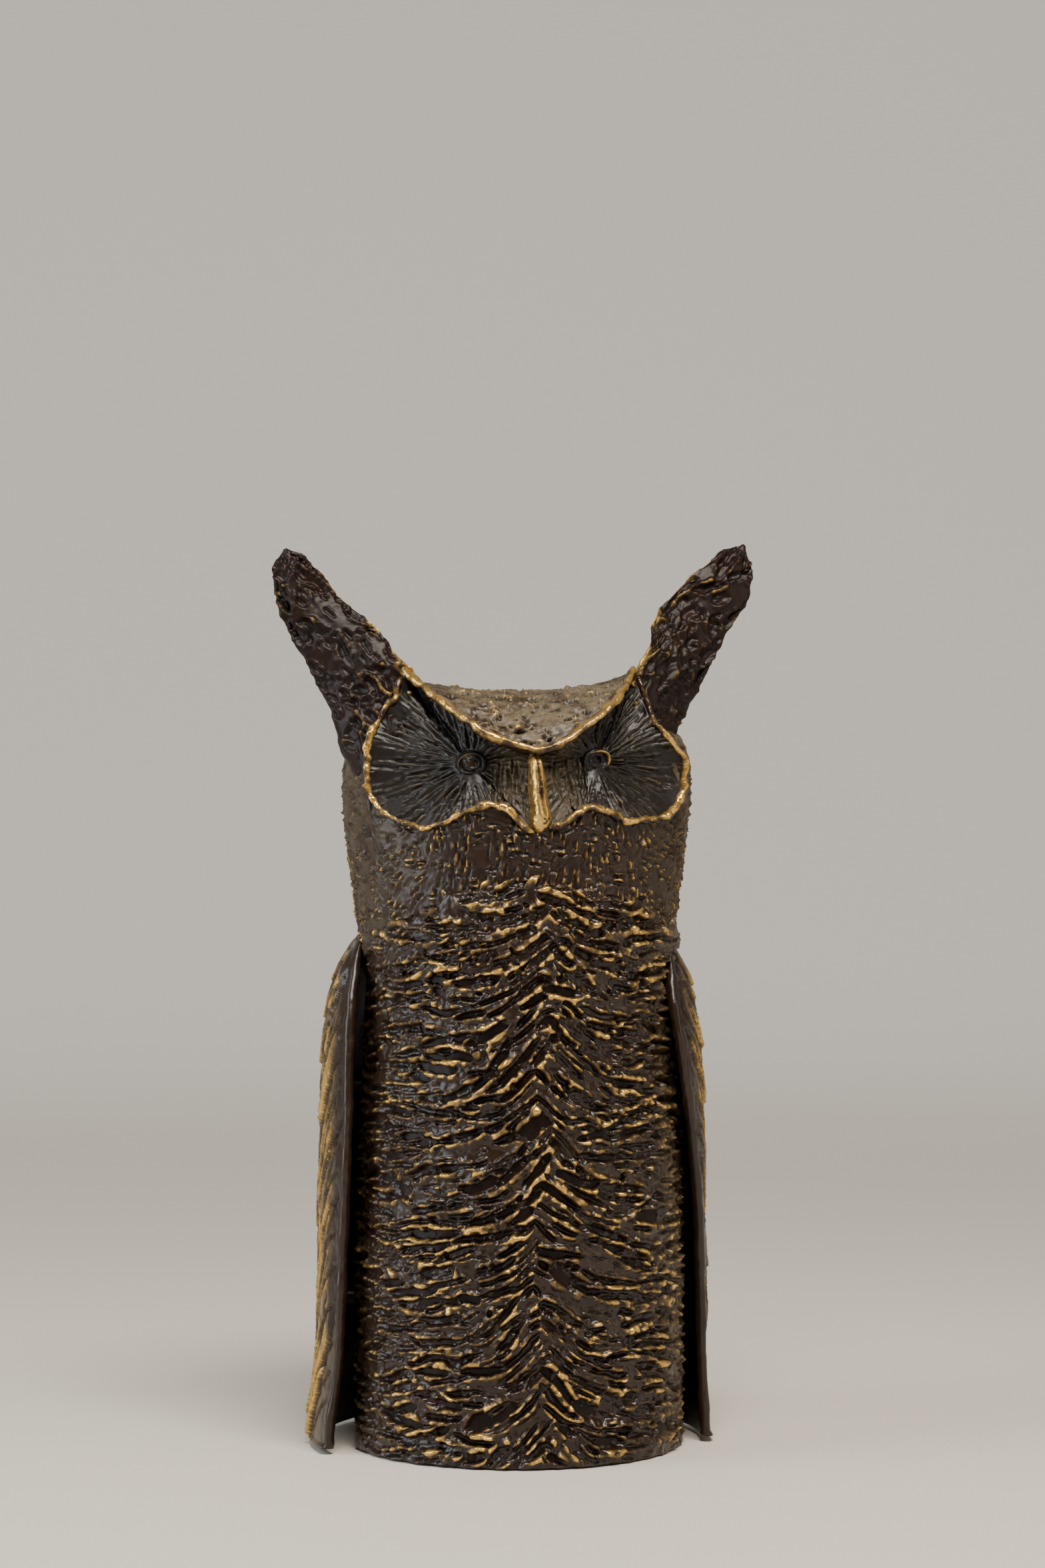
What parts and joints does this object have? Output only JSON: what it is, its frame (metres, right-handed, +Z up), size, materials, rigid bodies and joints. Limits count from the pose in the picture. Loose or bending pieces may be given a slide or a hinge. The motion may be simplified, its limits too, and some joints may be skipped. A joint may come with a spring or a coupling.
{
  "type": "owl figurine",
  "caption": "Upright horned owl in dark patinated bronze with dished facial discs, blade-like ear tufts, a chevron-feathered breast and wing shells that stand clear of the body.",
  "frame": {"origin": "centre of the felt pad's underside, on the surface that the owl stands on", "axes": "+Z up along the column, the owl's face towards -Y, +X towards the right wing as seen by someone facing the owl"},
  "size_m": [0.106, 0.0834, 0.1964],
  "materials": {
    "dark_bronze": "dark brown patina, waxed, rubbed bright on the crests",
    "worn_bronze": "golden bronze where the patina is rubbed away",
    "joining_bronze": "filed",
    "felt": "matt wool felt"
  },
  "bodies": {
    "root": {"body_shell": "dark_bronze", "breast_feathers": "dark_bronze", "head_shell": "dark_bronze", "crown_cap": "dark_bronze", "facial_disc_left": "dark_bronze", "facial_disc_right": "dark_bronze", "disc_rim_left": "worn_bronze", "disc_rim_right": "worn_bronze", "brow_left": "worn_bronze", "brow_right": "worn_bronze", "beak": "worn_bronze", "beak_pin": "joining_bronze", "eye_left": "worn_bronze", "eye_right": "worn_bronze", "ear_tuft_left": "dark_bronze", "ear_tuft_right": "dark_bronze", "tuft_pins": "joining_bronze", "wing_left": "dark_bronze", "wing_right": "dark_bronze", "wing_pins": "joining_bronze", "tail": "dark_bronze", "tail_pins": "joining_bronze", "mantle": "dark_bronze", "mantle_pin": "joining_bronze", "neck_weld": "worn_bronze", "core_plugs": "joining_bronze", "base_plate": "joining_bronze", "base_screws": "joining_bronze", "felt_pad": "felt"}
  },
  "joints": []
}
